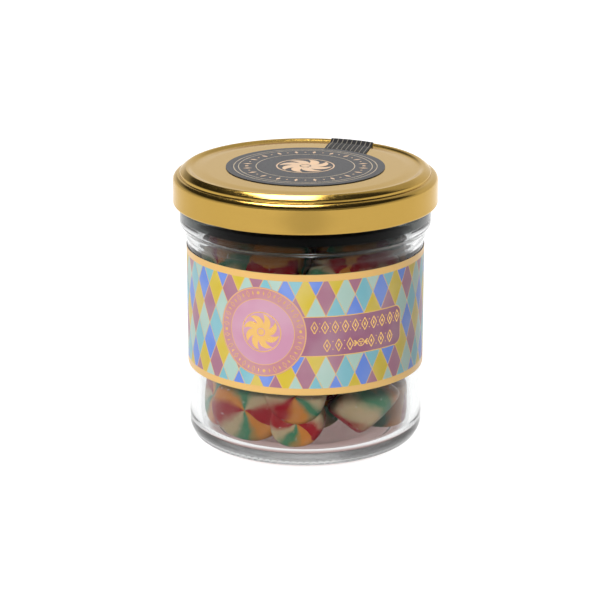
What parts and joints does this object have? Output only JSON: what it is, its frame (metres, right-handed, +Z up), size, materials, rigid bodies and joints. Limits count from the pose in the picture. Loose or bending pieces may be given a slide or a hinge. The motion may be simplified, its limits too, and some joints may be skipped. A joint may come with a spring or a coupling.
{
  "type": "jar of hard candies",
  "caption": "Round glass jar with a gold twist-off lid and a harlequin paper wrap, filled with striped cut rock candies.",
  "frame": {"origin": "middle of the base, on the plane that the jar stands on", "axes": "+Z up along the jar's axis, the front of the wrap faces -Y, +X to the right seen from the front"},
  "size_m": [0.0732, 0.0732, 0.0773],
  "materials": {
    "clear_glass": "clear flint glass, polished",
    "gold_lacquer": "gold lacquered tinplate, glossy",
    "wrap_paper": "coated paper, printed diamonds with gold foil lines",
    "round_label_paper": "dark satin paper with gold foil ornament",
    "strip_paper": "black satin paper with thin pale lines",
    "boiled_sugar": "glossy boiled sugar in red, orange, green and cream"
  },
  "bodies": {
    "root": {"jar": "clear_glass", "lid": "gold_lacquer", "wrap_label": "wrap_paper", "lid_label": "round_label_paper", "seal_strip": "strip_paper", "candies": "boiled_sugar"}
  },
  "joints": []
}
